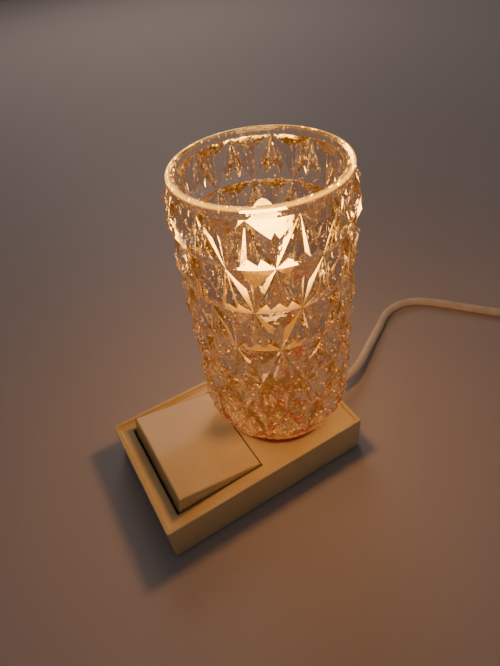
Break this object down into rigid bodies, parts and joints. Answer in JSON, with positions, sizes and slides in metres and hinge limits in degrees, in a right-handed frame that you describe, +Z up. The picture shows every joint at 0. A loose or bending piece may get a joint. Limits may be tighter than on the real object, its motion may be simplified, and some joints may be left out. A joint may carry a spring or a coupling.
{
  "type": "table lamp",
  "caption": "Small table lamp: a cream box base with a large rocker switch, and a pressed-glass tumbler shade with a star pattern over a lit candle bulb.",
  "frame": {"origin": "centre of the base's footprint, on the surface that the feet stand on", "axes": "+Z up; +X from the rocker end towards the lamp end; -Y is the front long side"},
  "size_m": [0.4167, 0.1117, 0.171],
  "materials": {
    "base_plastic": "yellowed cream moulded ABS, glossy",
    "rocker_plastic": "pale cream moulded plastic, glossy",
    "inner_plastic": "off-white moulded nylon",
    "ceramic_plastic": "white moulded insert",
    "holder_plastic": "cream moulded phenolic",
    "black_rubber": "black moulded rubber",
    "red_rubber": "red moulded rubber",
    "steel": "zinc plated steel",
    "brass": "turned brass",
    "nickel": "nickel plated brass",
    "pressed_glass": "clear pressed glass with a moulded star pattern",
    "bulb_glass": "frosted bulb glass",
    "stem_glass": "clear lead glass",
    "black_glass": "black glass insulator",
    "cord_pvc": "ivory PVC",
    "wire_brown": "brown PVC",
    "wire_blue": "blue PVC",
    "tie_plastic": "white plastic tie"
  },
  "bodies": {
    "root": {"base_shell": "base_plastic", "bottom_cover": "base_plastic", "rubber_feet": "black_rubber", "cover_screws": "steel", "switch_carrier": "inner_plastic", "carrier_screws": "steel", "rocker_pins": "steel", "switch_housing": "inner_plastic", "contact_pin": "steel", "feed_contact": "brass", "common_contact": "brass", "terminal_screws": "brass", "seat_ring": "red_rubber", "glass_shade": "pressed_glass", "threaded_tube": "brass", "panel_washer": "steel", "panel_nut": "steel", "soft_washer": "black_rubber", "steel_washer": "steel", "glass_nut": "brass", "holder_cap": "holder_plastic", "holder_barrel": "holder_plastic", "holder_insert": "ceramic_plastic", "thread_shell": "brass", "centre_contact": "brass", "holder_screws": "brass", "strain_relief": "cord_pvc", "cord_clamp": "inner_plastic", "clamp_screws": "steel", "cord_lead_in": "cord_pvc", "wire_feed": "wire_brown", "wire_switched": "wire_brown", "wire_return": "wire_blue", "cord": "cord_pvc", "cord_coil": "cord_pvc", "cord_tail": "cord_pvc", "coil_tie": "tie_plastic", "plug_body": "cord_pvc", "plug_pins": "nickel"},
    "rocker": {"rocker": "rocker_plastic", "plunger": "inner_plastic", "plunger_spring": "steel"},
    "contact": {"contact_seesaw": "brass"},
    "bulb_base": {"bulb_contact": "nickel"},
    "bulb": {"bulb_insulator": "black_glass", "bulb_cap": "nickel", "bulb_envelope": "bulb_glass", "bulb_stem": "stem_glass", "bulb_filament": "steel"}
  },
  "joints": [
    {"name": "rocker_tilt", "type": "hinge", "parent": "root", "child": "rocker", "pos_m": [-0.0259, 0, 0.02015], "axis": [0, -1, 0], "range_deg": [0, 22]},
    {"name": "contact_tilt", "type": "hinge", "parent": "root", "child": "contact", "pos_m": [-0.0259, 0, 0.012], "axis": [0, 1, 0], "range_deg": [0, 16]},
    {"name": "bulb_lift", "type": "slide", "parent": "root", "child": "bulb_base", "axis": [0, 0, 1], "range_m": [0, 0.0127]},
    {"name": "bulb_turn", "type": "hinge", "parent": "bulb_base", "child": "bulb", "pos_m": [0.03, 0, 0.06], "axis": [0, 0, 1], "range_deg": [0, 1620]}
  ],
  "couplings": [
    {"joint": "contact_tilt", "follows": "rocker_tilt", "ratio": 0.72727},
    {"joint": "bulb_lift", "follows": "bulb_turn", "m_per_rad": 0.00044913}
  ]
}
